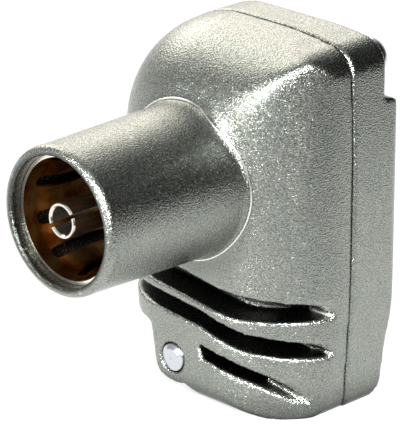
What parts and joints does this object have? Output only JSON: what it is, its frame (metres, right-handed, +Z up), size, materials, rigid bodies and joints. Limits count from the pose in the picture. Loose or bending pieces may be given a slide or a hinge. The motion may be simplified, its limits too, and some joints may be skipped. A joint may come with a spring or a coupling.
{
  "type": "right-angle coaxial socket connector",
  "caption": "Right-angle 9.5 mm coaxial socket in a hinged die-cast metal housing: barrel with spring sleeve and split centre contact, finned grille over the cable entry, swinging rear casting.",
  "frame": {"origin": "centre of the socket's mouth, on the plane of the barrel's rim", "axes": "-Y out of the socket's mouth, +Z up, the cable leaves along -Z, X across the housing"},
  "size_m": [0.0236, 0.0289, 0.0327],
  "materials": {
    "front_casting": "nickel-plated zinc die casting, tumbled satin",
    "rear_casting": "nickel-plated zinc die casting, tumbled satin",
    "rivet": "bright zinc-plated steel",
    "steel_screw": "bright zinc-plated steel",
    "sleeve": "spring bronze, bright at the edge",
    "contact": "silver-plated brass",
    "insulator": "moulded black polypropylene",
    "terminal": "machined brass"
  },
  "bodies": {
    "housing": {"front_housing": "front_casting", "hinge_rivet": "rivet", "spring_sleeve": "sleeve", "centre_contact": "contact", "insulator": "insulator", "terminal_block": "terminal"},
    "cover": {"rear_cover": "rear_casting"},
    "closing_screw_body": {"closing_screw": "steel_screw"},
    "terminal_screw_body": {"terminal_screw": "steel_screw"}
  },
  "joints": [
    {"name": "cover_swing", "type": "hinge", "parent": "housing", "child": "cover", "pos_m": [0.0089, 0.0247, 0.0099], "axis": [0, -1, 0], "range_deg": [0, 110]},
    {"name": "closing_screw_turn", "type": "hinge", "parent": "housing", "child": "closing_screw_body", "pos_m": [-0.0015, 0.0149, -0.0167], "axis": [0, 1, 0], "continuous": true},
    {"name": "terminal_screw_turn", "type": "hinge", "parent": "housing", "child": "terminal_screw_body", "pos_m": [0.0032, 0.0212, 0], "axis": [0, 1, 0], "continuous": true}
  ]
}
